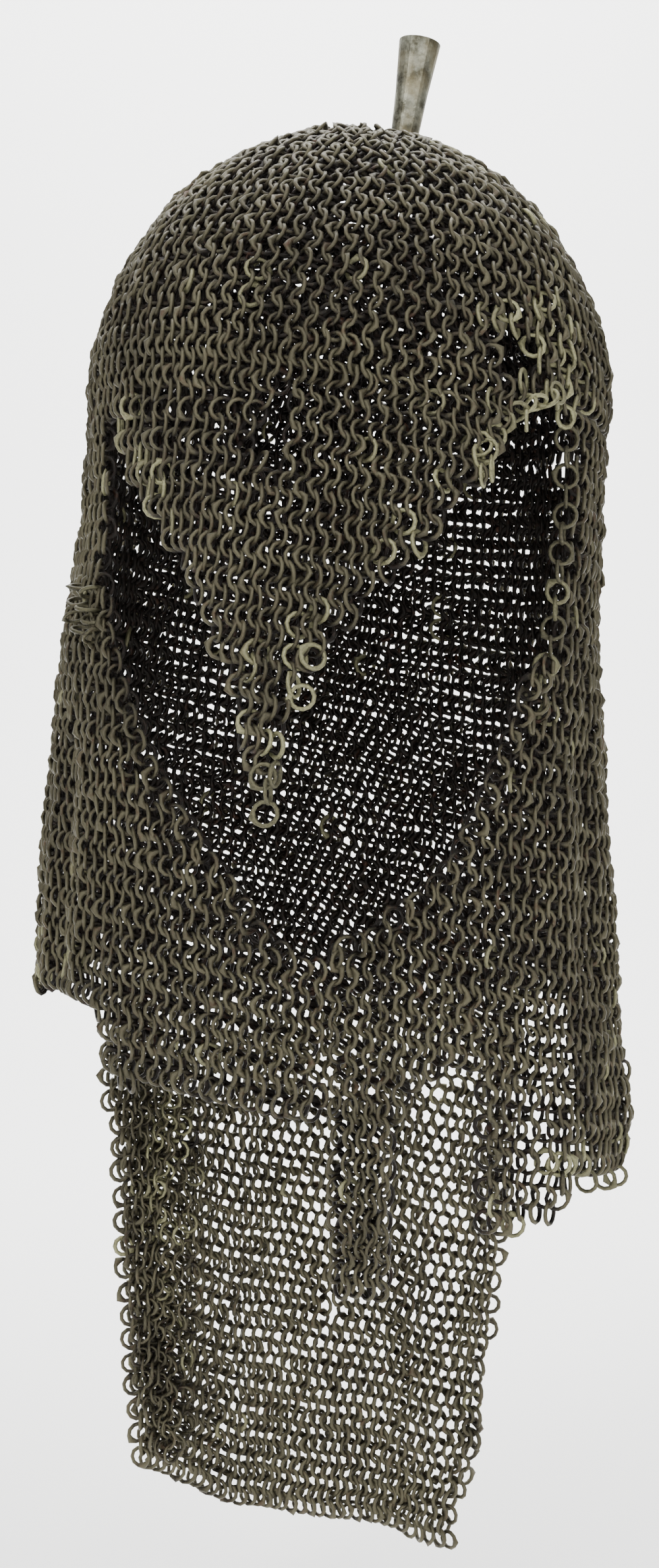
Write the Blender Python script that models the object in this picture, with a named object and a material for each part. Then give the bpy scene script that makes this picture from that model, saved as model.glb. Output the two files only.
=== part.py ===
"""Mail coif: a dome of mail with a hanging brow flap, sides that frame the face,
a long neck guard behind and a small flared tube at the top.

Metres, +Z up, the face looks along -Y. The origin is the inner apex of the crown.
Angles go round the head from the front (0) over the right side of the picture (90)
to the back (180) and the left side (270, the same as -90).
"""
import math

import bmesh
import bpy
from mathutils import Matrix, Vector

# Main sizes
half_width = 0.084
half_depth = 0.099
dome_height = 0.0865
dome_power = 1.92
drop = 0.410
wall = 0.0040
seam = 0.0003
equator = -(dome_height - wall)

# Levels, as depths under the widest level of the dome, in shares of the drop
brow_level = 0.028
nape_level = 0.494
lappet_level = 0.510
tongue_level = 0.543
fold_level = 0.545

# Cross sections of the hanging mail, all as shares of the named sizes:
# down, left, right, front, back, and how square the back is
sections = (
    (0.000, 1.000, 1.000, 1.000, 1.000, 2.00),
    (0.028, 1.007, 0.992, 1.000, 1.000, 2.00),
    (0.091, 1.019, 0.967, 0.975, 1.000, 2.08),
    (0.165, 1.081, 0.952, 0.919, 1.000, 2.18),
    (0.226, 1.118, 0.962, 0.874, 1.000, 2.28),
    (0.299, 1.155, 0.982, 0.803, 1.000, 2.38),
    (0.384, 1.185, 0.998, 0.742, 1.000, 2.50),
    (0.470, 1.208, 1.018, 0.707, 1.000, 2.62),
    (0.555, 1.190, 1.054, 0.697, 1.000, 2.74),
    (0.640, 1.167, 1.024, 0.697, 1.000, 2.84),
    (1.020, 1.131, 1.024, 0.697, 1.000, 3.00),
)

# The brow flap stands forward of the face: down, front
flap_fronts = (
    (0.028, 1.000),
    (0.113, 1.070),
    (0.213, 1.162),
    (0.323, 1.257),
)

# Hanging folds: angle and half width in degrees, height in walls, start and end in drops
folds = (
    (-74, 12, 0.35, 0.13, 0.22),
    (-66, 9, -0.75, 0.22, 0.50),
    (-86, 10, 0.25, 0.26, 0.52),
    (-108, 11, -0.70, 0.26, 0.56),
    (62, 10, -0.55, 0.20, 0.50),
    (80, 11, 0.50, 0.30, 0.66),
    (104, 11, -0.60, 0.16, 0.60),
    (45, 8, 0.60, 0.52, 0.68),
    (142, 10, 0.75, 0.24, 0.60),
    (165, 10, -0.70, 0.34, 1.02),
    (189, 10, 0.65, 0.28, 1.02),
    (212, 9, -0.70, 0.40, 1.02),
)

# Side edges: down, angle
left_face_edge = (
    (0.028, -61.0),
    (0.107, -57.6),
    (0.170, -53.1),
    (0.224, -47.1),
    (0.257, -41.7),
    (0.292, -36.9),
    (0.332, -28.6),
    (0.384, -18.1),
    (0.401, -15.6),
    (0.419, -12.0),
    (0.428, -5.6),
    (0.560, -5.2),
)
right_face_edge = (
    (0.028, 47.0),
    (0.096, 48.3),
    (0.154, 46.9),
    (0.183, 45.5),
    (0.232, 40.0),
    (0.262, 35.7),
    (0.307, 27.5),
    (0.353, 21.2),
    (0.382, 13.2),
    (0.393, 7.6),
    (0.410, 2.6),
    (0.418, -4.6),
    (0.560, -4.9),
)
flap_left_edge = (
    (0.028, -60.4),
    (0.045, -61.0),
    (0.072, -55.7),
    (0.109, -45.4),
    (0.157, -36.2),
    (0.190, -31.4),
    (0.228, -25.5),
    (0.257, -23.9),
    (0.269, -24.2),
    (0.282, -20.8),
    (0.307, -18.5),
)
flap_right_edge = (
    (0.028, 38.0),
    (0.062, 32.0),
    (0.094, 26.5),
    (0.096, 22.4),
    (0.122, 19.7),
    (0.154, 9.9),
    (0.184, 1.4),
    (0.207, -3.2),
    (0.233, -9.6),
    (0.238, -13.6),
    (0.258, -13.6),
    (0.272, -12.4),
    (0.307, -14.4),
)
panel_left_edge = (
    (0.494, 236.5),
    (0.583, 236.0),
    (0.602, 232.9),
    (0.637, 234.4),
    (0.662, 232.4),
    (0.762, 230.8),
    (0.861, 227.7),
    (1.020, 223.0),
)
panel_right_edge = (
    (0.494, 139.0),
    (0.600, 140.5),
    (0.712, 144.4),
    (0.780, 148.5),
    (0.861, 152.4),
    (0.932, 155.9),
    (0.957, 161.0),
    (1.020, 161.3),
)
fold_set_back = 1.5
fold_inner_edge = (
    (0.540, 210.0),
    (0.640, 207.0),
    (0.760, 209.0),
    (0.930, 210.5),
)

# Hems: along the width from its left end (0) to its right end (1), down
left_side_hem = (
    (0.00, 0.468),
    (0.25, 0.467),
    (0.46, 0.466),
    (0.57, 0.474),
    (0.615, 0.486),
    (0.63, 0.530),
    (0.75, 0.531),
    (0.86, 0.537),
    (0.95, 0.549),
    (1.00, 0.544),
)
right_side_hem = (
    (0.00, tongue_level),
    (0.12, tongue_level),
    (0.16, 0.522),
    (0.22, lappet_level),
    (1.00, lappet_level),
)
lappet_hem = (
    (0.00, 0.624),
    (0.10, 0.634),
    (0.20, 0.628),
    (0.32, 0.600),
    (0.60, 0.612),
    (0.85, 0.612),
    (1.00, 0.598),
)
tongue_hem = (
    (0.0, 0.669),
    (1.0, 0.667),
)
flap_hem = (
    (0.0, 0.3092),
    (1.0, 0.3092),
)
fold_hem = (
    (0.0, 0.925),
    (0.5, 0.910),
    (1.0, 0.895),
)
panel_hem = (
    (0.00, 0.906),
    (0.28, 0.937),
    (0.44, 0.957),
    (0.60, 0.966),
    (0.78, 0.975),
    (0.86, 0.987),
    (1.00, 0.994),
)

# Holes where rings are missing: x in walls, down, half width and half height in walls, in front
brow_hole = (-6.0, 0.056, 0.62, 1.75, True)
torn_patch = (11.3, 0.004, 1.15, 1.80, True)
throat_hole = (-2.15, 0.499, 1.40, 1.65, True)
upper_slit = (4.3, 0.700, 0.38, 1.30, False)
lower_slit = (-1.3, 0.774, 0.30, 1.60, False)

# Flared tube at the top
tube_length = 0.0345
tube_collar = 0.0020
tube_bore_step = 0.0008
tube_neck_radius = 0.0044
tube_rim_radius = 0.0068
tube_wall = 0.0009
tube_offset = 0.0173
tube_lean = math.radians(9.4)
flange_radius = 0.0095
flange_thickness = 0.0012
flange_sink = 0.0014
tube_clearance = 0.0005

# Larger single rings under the flap: name, angle, depth they hang from, turn in degrees
repair_ring_radius = 0.0034
repair_wire_radius = 0.00062
ring_clearance = 0.0004
hanging_rings = (
    ("flap_tip_ring", -16.6, 0.3092, -12),
    ("flap_edge_ring", -9.7, 0.2320, 14),
)


def level(down):
    return equator - down * drop


def depth_of(z):
    return (equator - z) / drop


def read(table, key, column):
    """Value of a column at a key in the first column, in a straight line between the rows."""
    if key <= table[0][0]:
        return table[0][column]
    for low, high in zip(table, table[1:]):
        if key <= high[0]:
            share = (key - low[0]) / (high[0] - low[0])
            return low[column] + share * (high[column] - low[column])
    return table[-1][column]


def fold_height(angle, down):
    total = 0.0
    for centre, spread, height, start, end in folds:
        away = (angle - centre + 180) % 360 - 180
        if abs(away) >= spread or not start < down < end:
            continue
        along = (down - start) / (end - start)
        ease = min(1.0, along / 0.35)
        if end < 0.9:
            ease *= min(1.0, (1 - along) / 0.25)
        total += height * wall * ease * (0.5 + 0.5 * math.cos(math.pi * away / spread))
    return total


def hanging(angle, z):
    """Outer surface of the mail over the head and below it."""
    down = max(0.0, depth_of(z))
    turn = math.radians(angle)
    side = math.sin(turn)
    ahead = math.cos(turn)
    width = half_width * read(sections, down, 2 if side > 0 else 1)
    if ahead > 0:
        x = width * side
        y = -half_depth * read(sections, down, 3) * ahead
    else:
        power = 2 / read(sections, down, 5)
        x = math.copysign(width * abs(side) ** power, side)
        y = half_depth * read(sections, down, 4) * abs(ahead) ** power
    if z > equator:
        shrink = max(0.0, 1 - ((z - equator) / dome_height) ** dome_power) ** (1 / dome_power)
        x *= shrink
        y *= shrink
    point = Vector((x, y, z))
    flat = Vector((x, y, 0))
    if flat.length > 0:
        point += flat.normalized() * fold_height(angle, down)
    return point


def flap_surface(angle, z):
    down = depth_of(z)
    turn = math.radians(angle)
    front = half_depth * read(flap_fronts, down, 1)
    return Vector((half_width * math.sin(turn), -front * math.cos(turn), z))


def behind(angle, z):
    """The folded margin lies on the inner side of the neck guard."""
    point = hanging(angle, z)
    return point - surface_normal(hanging, angle, z) * (wall + 2 * seam)


def surface_normal(surface, angle, z):
    step = 0.4
    rise = 0.0006
    across = surface(angle + step, z) - surface(angle - step, z)
    up = surface(angle, z + rise) - surface(angle, z - rise)
    return across.cross(up).normalized()


def material(name, colour, metallic, roughness):
    made = bpy.data.materials.new(name)
    made.use_nodes = True
    shader = made.node_tree.nodes["Principled BSDF"]
    shader.inputs["Base Color"].default_value = (*colour, 1)
    shader.inputs["Metallic"].default_value = metallic
    shader.inputs["Roughness"].default_value = roughness
    return made


def add_object(name, work, skin, smooth=True):
    bmesh.ops.recalc_face_normals(work, faces=work.faces)
    if work.calc_volume(signed=True) < 0:
        bmesh.ops.reverse_faces(work, faces=work.faces)
    mesh = bpy.data.meshes.new(name)
    work.to_mesh(mesh)
    work.free()
    for face in mesh.polygons:
        face.use_smooth = smooth
    mesh.materials.append(skin)
    made = bpy.data.objects.new(name, mesh)
    bpy.context.scene.collection.objects.link(made)
    return made


def close_sheet(work, outer, inner):
    """Faces over two matching grids of vertices, and round their rim."""
    rows = len(outer)
    columns = len(outer[0])
    for j in range(rows - 1):
        for i in range(columns - 1):
            work.faces.new((outer[j][i], outer[j][i + 1], outer[j + 1][i + 1], outer[j + 1][i]))
            work.faces.new((inner[j][i], inner[j + 1][i], inner[j + 1][i + 1], inner[j][i + 1]))
    for i in range(columns - 1):
        for j in (0, rows - 1):
            work.faces.new((outer[j][i], outer[j][i + 1], inner[j][i + 1], inner[j][i]))
    for j in range(rows - 1):
        for i in (0, columns - 1):
            work.faces.new((outer[j][i], outer[j + 1][i], inner[j + 1][i], inner[j][i]))


def sheet(name, surface, left, right, top, hem, across, down, skin):
    """A piece of hanging mail between two side edges, a level top and a hem."""
    work = bmesh.new()
    outer = []
    inner = []
    for j in range(down + 1):
        outer_row = []
        inner_row = []
        for i in range(across + 1):
            u = i / across
            depth = top + (read(hem, u, 1) - top) * j / down
            z = level(depth) - (seam / 2 if j == 0 else 0)
            start = left(depth)
            angle = start + u * (right(depth) - start)
            point = surface(angle, z)
            outer_row.append(work.verts.new(point))
            inside = point - surface_normal(surface, angle, z) * wall
            inner_row.append(work.verts.new((inside.x, inside.y, z)))
        outer.append(outer_row)
        inner.append(inner_row)
    close_sheet(work, outer, inner)
    return add_object(name, work, skin)


def dome(name, around, rings, skin):
    """The crown: rings of points from the apex to the brow, inside and outside."""
    work = bmesh.new()
    levels = [equator + dome_height * math.cos(math.pi / 2 * k / rings) for k in range(1, rings + 1)]
    levels.append(level(brow_level) + seam / 2)
    skins = []
    for inset in (0.0, wall):
        grid = []
        for z in levels:
            row = []
            for i in range(around):
                angle = 360 * i / around
                point = hanging(angle, z)
                if z >= equator:
                    shrink = 1 - inset / half_width
                    height = (dome_height - inset) / dome_height
                    deep = 1 - inset / half_depth
                    point = Vector((point.x * shrink, point.y * deep, equator + (z - equator) * height))
                else:
                    point -= surface_normal(hanging, angle, z) * inset
                    point.z = z
                row.append(work.verts.new(point))
            grid.append(row)
        apex = work.verts.new((0, 0, equator + dome_height - inset))
        for i in range(around):
            work.faces.new((apex, grid[0][i], grid[0][(i + 1) % around]))
        for low, high in zip(grid, grid[1:]):
            for i in range(around):
                k = (i + 1) % around
                work.faces.new((low[i], high[i], high[k], low[k]))
        skins.append(grid)
    for i in range(around):
        k = (i + 1) % around
        work.faces.new((skins[0][-1][i], skins[0][-1][k], skins[1][-1][k], skins[1][-1][i]))
    return add_object(name, work, skin)


def lathe(name, profile, around, place, skin):
    """A closed profile of (radius, height) pairs turned round its own axis."""
    work = bmesh.new()
    rows = []
    for radius, height in profile:
        row = []
        for i in range(around):
            turn = 2 * math.pi * i / around
            point = Vector((radius * math.cos(turn), radius * math.sin(turn), height))
            row.append(work.verts.new(place @ point))
        rows.append(row)
    for low, high in zip(rows, rows[1:] + rows[:1]):
        for i in range(around):
            k = (i + 1) % around
            work.faces.new((low[i], high[i], high[k], low[k]))
    return add_object(name, work, skin)


def cut(target, cutter):
    cutter.hide_render = True
    cutter.display_type = "WIRE"
    change = target.modifiers.new(cutter.name, "BOOLEAN")
    change.operation = "DIFFERENCE"
    change.solver = "EXACT"
    change.object = cutter


def hole_cutter(name, hole, skin):
    """An eight-sided plug along Y through the front or the back of the mail."""
    x, down, half_x, half_z, front = hole
    near = -half_depth * 1.35 if front else half_depth * 0.55
    far = -half_depth * 0.35 if front else half_depth * 1.25
    work = bmesh.new()
    ends = []
    for y in (near, far):
        row = []
        for i in range(8):
            turn = math.pi * (i + 0.5) / 4
            spot = (x * wall + half_x * wall * math.cos(turn), y, level(down) + half_z * wall * math.sin(turn))
            row.append(work.verts.new(spot))
        ends.append(row)
        work.faces.new(row)
    for i in range(8):
        k = (i + 1) % 8
        work.faces.new((ends[0][i], ends[0][k], ends[1][k], ends[1][i]))
    return add_object(name, work, skin, smooth=False)


def ring_profile(radius, wire, sides):
    points = []
    for i in range(sides):
        turn = 2 * math.pi * i / sides
        points.append((radius + wire * math.cos(turn), wire * math.sin(turn)))
    return points


def build():
    for old in list(bpy.data.objects):
        bpy.data.objects.remove(old)

    mail = material("mail", (0.105, 0.088, 0.070), 0.85, 0.62)
    repair = material("repair_ring", (0.30, 0.27, 0.19), 0.85, 0.50)
    tube_skin = material("tube", (0.36, 0.36, 0.33), 0.90, 0.45)

    crown = dome("crown", 48, 9, mail)

    flap = sheet(
        "face_flap", flap_surface,
        lambda depth: read(flap_left_edge, depth, 1),
        lambda depth: read(flap_right_edge, depth, 1),
        brow_level, flap_hem, 14, 16, mail,
    )
    left_side = sheet(
        "left_side", hanging,
        lambda depth: -115.0 + math.degrees(seam / 2 / half_width),
        lambda depth: read(left_face_edge, depth, 1),
        brow_level, left_side_hem, 22, 22, mail,
    )
    right_side = sheet(
        "right_side", hanging,
        lambda depth: read(right_face_edge, depth, 1),
        lambda depth: 115.0 - math.degrees(seam / 2 / half_width),
        brow_level, right_side_hem, 22, 20, mail,
    )
    sheet(
        "right_lappet", hanging,
        lambda depth: 24.8,
        lambda depth: 113.0,
        lappet_level + seam / drop, lappet_hem, 16, 6, mail,
    )
    sheet(
        "chin_tongue", hanging,
        lambda depth: -3.4,
        lambda depth: 7.4,
        tongue_level + seam / drop, tongue_hem, 3, 6, mail,
    )
    sheet(
        "nape", hanging,
        lambda depth: 115.0 + math.degrees(seam / 2 / half_width),
        lambda depth: 245.0 - math.degrees(seam / 2 / half_width),
        brow_level, ((0.0, nape_level), (1.0, nape_level)), 26, 11, mail,
    )
    panel = sheet(
        "back_panel", hanging,
        lambda depth: read(panel_right_edge, depth, 1),
        lambda depth: read(panel_left_edge, depth, 1),
        nape_level + seam / drop, tuple((1 - u, d) for u, d in reversed(panel_hem)),
        22, 14, mail,
    )
    sheet(
        "panel_fold", behind,
        lambda depth: read(fold_inner_edge, depth, 1),
        lambda depth: read(panel_left_edge, depth, 1) - fold_set_back,
        fold_level, fold_hem, 5, 12, mail,
    )

    cut(flap, hole_cutter("brow_hole_cutter", brow_hole, mail))
    cut(crown, hole_cutter("torn_patch_cutter", torn_patch, mail))
    throat = hole_cutter("throat_hole_cutter", throat_hole, mail)
    cut(left_side, throat)
    cut(right_side, throat)
    cut(panel, hole_cutter("upper_slit_cutter", upper_slit, mail))
    cut(panel, hole_cutter("lower_slit_cutter", lower_slit, mail))

    # The tube stands on the crown to the right of the apex and leans to the right
    lean = Matrix.Rotation(tube_lean, 4, "Y")
    rise = (1 - (tube_offset / half_width) ** dome_power) ** (1 / dome_power)
    foot = Vector((tube_offset, 0, equator + dome_height * rise))
    foot -= (lean @ Vector((0, 0, 1))) * (wall + flange_sink)
    place = Matrix.Translation(foot) @ lean
    neck = wall + flange_sink
    top = neck + tube_length
    middle = neck + tube_length / 2
    bore = tube_neck_radius - tube_wall
    profile = (
        (bore, -flange_thickness),
        (flange_radius, -flange_thickness),
        (flange_radius, 0.0),
        (tube_neck_radius, 0.0),
        (tube_neck_radius, neck + tube_collar),
        (tube_neck_radius + 0.35 * (tube_rim_radius - tube_neck_radius), middle),
        (tube_rim_radius, top),
        (tube_rim_radius - tube_wall, top),
        (bore + tube_bore_step, middle),
        (bore, neck + tube_collar),
    )
    lathe("plume_tube", profile, 28, place, tube_skin)
    work = bmesh.new()
    bmesh.ops.create_cone(
        work, cap_ends=True, segments=28, depth=tube_length,
        radius1=tube_neck_radius + tube_clearance, radius2=tube_neck_radius + tube_clearance,
        matrix=place,
    )
    cut(crown, add_object("tube_hole_cutter", work, tube_skin))

    upright = Matrix.Rotation(math.pi / 2, 4, "X")
    reach = repair_ring_radius + repair_wire_radius + ring_clearance
    for name, angle, depth, turned in hanging_rings:
        edge = flap_surface(angle, level(depth))
        spot = edge - surface_normal(flap_surface, angle, level(depth)) * wall / 2
        spot.z = level(depth) - reach
        turn = Matrix.Rotation(math.radians(turned), 4, "Z")
        where = Matrix.Translation(spot) @ turn @ upright
        lathe(name, ring_profile(repair_ring_radius, repair_wire_radius, 6), 16, where, repair)


build()
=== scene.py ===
import math

import bpy
import numpy as np
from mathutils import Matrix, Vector


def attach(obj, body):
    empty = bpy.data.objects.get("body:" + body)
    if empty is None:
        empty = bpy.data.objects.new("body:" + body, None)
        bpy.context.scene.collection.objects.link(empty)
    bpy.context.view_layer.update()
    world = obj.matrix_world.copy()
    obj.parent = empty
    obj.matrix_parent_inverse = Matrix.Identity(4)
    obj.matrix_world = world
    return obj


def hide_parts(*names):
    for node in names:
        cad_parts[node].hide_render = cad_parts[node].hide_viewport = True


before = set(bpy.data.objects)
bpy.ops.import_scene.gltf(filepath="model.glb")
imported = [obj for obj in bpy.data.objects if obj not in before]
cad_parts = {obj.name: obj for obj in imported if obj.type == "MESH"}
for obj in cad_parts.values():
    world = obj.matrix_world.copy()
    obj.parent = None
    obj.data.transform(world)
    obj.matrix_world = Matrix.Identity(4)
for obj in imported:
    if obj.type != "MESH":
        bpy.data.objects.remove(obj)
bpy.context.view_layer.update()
print("frame loaded")

mm = 0.001

# the skin that the mail lies on, the same sizes as the solids
body = {"halfWidth": 0.084, "halfDepth": 0.099, "domeHeight": 0.0865, "domePower": 1.92,
        "drop": 0.410, "wall": 0.0040}
equator = -(body["domeHeight"] - body["wall"])

sections = {
    "down":   [0.000, 0.028, 0.091, 0.165, 0.226, 0.299, 0.384, 0.470, 0.555, 0.640, 1.020],
    "left":   [1.000, 1.007, 1.019, 1.081, 1.118, 1.155, 1.185, 1.208, 1.190, 1.167, 1.131],
    "right":  [1.000, 0.992, 0.967, 0.952, 0.962, 0.982, 0.998, 1.018, 1.054, 1.024, 1.024],
    "front":  [1.000, 1.000, 0.975, 0.919, 0.874, 0.803, 0.742, 0.707, 0.697, 0.697, 0.697],
    "square": [2.00, 2.00, 2.08, 2.18, 2.28, 2.38, 2.50, 2.62, 2.74, 2.84, 3.00],
}
flapFronts = {"down": [0.028, 0.113, 0.213, 0.323], "front": [1.000, 1.070, 1.162, 1.257]}

# angle, half width, height in walls, start and end of each hanging fold
folds = [
    (-74, 12, 0.35, 0.13, 0.22),
    (-66, 9, -0.75, 0.22, 0.50),
    (-86, 10, 0.25, 0.26, 0.52),
    (-108, 11, -0.70, 0.26, 0.56),
    (62, 10, -0.55, 0.20, 0.50),
    (80, 11, 0.50, 0.30, 0.66),
    (104, 11, -0.60, 0.16, 0.60),
    (45, 8, 0.60, 0.52, 0.68),
    (142, 10, 0.75, 0.24, 0.60),
    (165, 10, -0.70, 0.34, 1.02),
    (189, 10, 0.65, 0.28, 1.02),
    (212, 9, -0.70, 0.40, 1.02),
]

# side edges of the pieces: depth, angle
leftFace = {"down": [0.028, 0.107, 0.170, 0.224, 0.257, 0.292, 0.332, 0.384, 0.401, 0.419, 0.428, 0.560],
            "angle": [-61.0, -57.6, -53.1, -47.1, -41.7, -36.9, -28.6, -18.1, -15.6, -12.0, -5.6, -5.2]}
rightFace = {"down": [0.028, 0.096, 0.154, 0.183, 0.232, 0.262, 0.307,
                      0.353, 0.382, 0.393, 0.410, 0.418, 0.560],
             "angle": [47.0, 48.3, 46.9, 45.5, 40.0, 35.7, 27.5, 21.2, 13.2, 7.6, 2.6, -4.6, -4.9]}
flapLeft = {"down": [0.028, 0.045, 0.072, 0.109, 0.157, 0.190, 0.228, 0.257, 0.269, 0.282, 0.307],
            "angle": [-60.4, -61.0, -55.7, -45.4, -36.2, -31.4, -25.5, -23.9, -24.2, -20.8, -18.5]}
flapRight = {"down": [0.028, 0.062, 0.094, 0.096, 0.122, 0.154, 0.184, 0.207, 0.233, 0.258, 0.272, 0.307],
             "angle": [38.0, 32.0, 26.5, 22.4, 19.7, 9.9, 1.4, -3.2, -9.6, -12.0, -12.4, -14.4]}
panelLeft = {"down": [0.494, 0.583, 0.602, 0.637, 0.662, 0.762, 0.861, 1.020],
             "angle": [236.5, 236.0, 232.9, 234.4, 232.4, 230.8, 227.7, 223.0]}
panelRight = {"down": [0.494, 0.600, 0.712, 0.780, 0.861, 0.932, 0.957, 1.020],
              "angle": [139.0, 140.5, 144.4, 148.5, 152.4, 155.9, 161.0, 161.3]}
foldInner = {"down": [0.540, 0.640, 0.760, 0.930], "angle": [210.0, 207.0, 209.0, 210.5]}

# hems: angle, depth
leftHem = {"angle": [-115, -88, -65, -53, -48.5, -46, -33, -20, -10, -5],
           "down": [0.468, 0.467, 0.466, 0.474, 0.486, 0.530, 0.531, 0.537, 0.549, 0.544]}
rightHem = {"angle": [-5, 9.4, 14.2, 21.4, 115], "down": [0.543, 0.543, 0.522, 0.510, 0.510]}
lappetHem = {"angle": [24.8, 33.6, 42.4, 53.0, 77.7, 99.8, 113.0],
             "down": [0.624, 0.634, 0.628, 0.600, 0.612, 0.612, 0.598]}
panelHem = {"angle": [161, 171, 175, 180, 186, 197, 207.4, 225],
            "down": [0.994, 0.988, 0.978, 0.972, 0.966, 0.957, 0.937, 0.906]}


# a column of a table at any value of its first column
def tableAt(table, key, column):
    return np.interp(key, table[list(table)[0]], table[column])


def levelOf(down):
    return equator - down * body["drop"]


def depthOf(z):
    return (equator - z) / body["drop"]


def foldHeight(angle, down):
    total = np.zeros_like(angle)
    for centre, spread, height, start, end in folds:
        away = (angle - centre + 180) % 360 - 180
        along = (down - start) / (end - start)
        ease = np.clip(along / 0.35, 0, 1)
        if end < 0.9:
            ease = ease * np.clip((1 - along) / 0.25, 0, 1)
        bump = 0.5 + 0.5 * np.cos(np.pi * np.clip(away / spread, -1, 1))
        total += height * body["wall"] * ease * bump
    return total


def hangingSkin(angle, z):
    down = np.maximum(0, depthOf(z))
    turn = np.radians(angle)
    side, ahead = np.sin(turn), np.cos(turn)
    sideways = np.where(side > 0, tableAt(sections, down, "right"), tableAt(sections, down, "left"))
    width = body["halfWidth"] * sideways
    power = 2 / tableAt(sections, down, "square")
    backX = width * np.sign(side) * np.abs(side) ** power
    backY = body["halfDepth"] * np.abs(ahead) ** power
    frontY = -body["halfDepth"] * tableAt(sections, down, "front") * ahead
    x = np.where(ahead > 0, width * side, backX)
    y = np.where(ahead > 0, frontY, backY)
    high = np.clip((z - equator) / body["domeHeight"], 0, 1)
    shrink = (1 - high ** body["domePower"]) ** (1 / body["domePower"])
    point = np.stack([x * shrink, y * shrink, z], -1)
    flat = point[..., :2] / np.maximum(1e-9, np.linalg.norm(point[..., :2], axis=-1))[..., None]
    point[..., :2] += flat * foldHeight(angle, down)[..., None]
    return point


def flapSkin(angle, z):
    turn = np.radians(angle)
    front = body["halfDepth"] * tableAt(flapFronts, depthOf(z), "front")
    return np.stack([body["halfWidth"] * np.sin(turn), -front * np.cos(turn), z], -1)


def unit(v):
    return v / np.maximum(1e-12, np.linalg.norm(v, axis=-1))[..., None]


# middle of the mail and its directions: across, up and out
def skinFrame(skin, angle, z, inset):
    across = unit(skin(angle + 0.4, z) - skin(angle - 0.4, z))
    up = unit(skin(angle, z + 0.0005) - skin(angle, z - 0.0005))
    out = unit(np.cross(across, up))
    up = unit(np.cross(out, across))
    return skin(angle, z) - out * inset, across, up, out


# one ring, modelled once for each number of sides
masterWire = 0.18  # thickness of the master's wire, for a ring of size one


def ringMaster(name, around, wireSides, lap):
    bpy.ops.object.select_all(action="DESELECT")
    bpy.ops.mesh.primitive_torus_add(major_segments=around, minor_segments=wireSides,
                                     major_radius=1.0, minor_radius=masterWire)
    ring = bpy.context.active_object
    ring.name = name
    bpy.ops.object.mode_set(mode="EDIT")
    bpy.ops.mesh.select_all(action="SELECT")
    bpy.ops.transform.resize(value=(1.03, 0.98, 1.0))
    bpy.ops.object.mode_set(mode="OBJECT")
    points = np.empty(len(ring.data.vertices) * 3)
    ring.data.vertices.foreach_get("co", points)
    points = points.reshape(-1, 3)
    # the riveted lap is hammered flatter and wider than the wire
    turn = np.arctan2(points[:, 1], points[:, 0])
    near = np.clip(1 - np.abs(turn) / lap["spread"], 0, 1)
    near = near * near * (3 - 2 * near)
    radial = np.hypot(points[:, 0], points[:, 1])
    wide = 1 + (radial - 1) * (1 + lap["wider"] * near) + lap["out"] * near
    points[:, 0] *= wide / radial
    points[:, 1] *= wide / radial
    points[:, 2] *= 1 - lap["flatter"] * near
    faces = np.array([list(face.vertices) for face in ring.data.polygons])
    bpy.data.objects.remove(ring)
    return {"points": points, "faces": faces, "lap": near}


lapShape = {"spread": 0.58, "wider": 0.80, "out": 0.02, "flatter": 0.28}
fineRing = ringMaster("fineRing", 12, 6, lapShape)
plainRing = ringMaster("plainRing", 11, 5, lapShape)
sideRing = ringMaster("sideRing", 10, 5, lapShape)
farRing = ringMaster("farRing", 10, 5, lapShape)
print("ring masters made")

weave = {"leanMost": 36.0, "leanLeast": 27.0, "tilt": 10.5, "proud": 0.09, "seed": 41}
rowSlope = math.tan(math.radians(weave["tilt"])) * body["domeHeight"] / body["halfWidth"]
chance = np.random.default_rng(weave["seed"])

# places where paler, straw coloured rings sit: angle, depth, half spreads, share of rings
paleSpots = [
    (40, 0.000, 17, 0.045, 0.42),
    (48, 0.030, 12, 0.080, 0.35),
    (-52, 0.080, 10, 0.030, 0.30),
    (15, 0.140, 14, 0.040, 0.22),
    (-95, 0.455, 30, 0.030, 0.22),
    (75, 0.595, 40, 0.035, 0.26),
    (90, 0.500, 20, 0.040, 0.12),
    (218, 0.660, 7, 0.090, 0.45),
    (27, 0.085, 5, 0.030, 0.60),
    (10, 0.155, 6, 0.030, 0.50),
    (-8, 0.225, 6, 0.030, 0.55),
    (-57, 0.060, 6, 0.025, 0.50),
    (-44, 0.115, 6, 0.025, 0.35),
    (-25, 0.240, 6, 0.040, 0.30),
]


# tone, paleness and rust of each ring
def ringTones(angle, z, count):
    down = depthOf(z)
    patch = np.sin(angle * 0.11 + down * 23) + np.sin(angle * 0.047 - down * 41 + 2)
    tone = np.clip(0.45 + 0.16 * chance.standard_normal(count) + 0.07 * patch, 0, 1)
    pale = (chance.random(count) < 0.008) * 0.5
    for spotAngle, spotDown, wide, tall, share in paleSpots:
        away = ((angle - spotAngle + 180) % 360 - 180) / wide
        inside = np.exp(-away ** 2 - ((down - spotDown) / tall) ** 2)
        hit = chance.random(count) < share * inside
        pale = np.maximum(pale, hit * chance.uniform(0.35, 1.0, count))
    rust = np.clip(0.25 + 0.28 * chance.standard_normal(count), 0, 1)
    return tone, pale, rust


# both directions turned in their own plane
def rotated(a, b, turn):
    c, s = np.cos(turn)[:, None], np.sin(turn)[:, None]
    return c * a + s * b, -s * a + c * b


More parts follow.
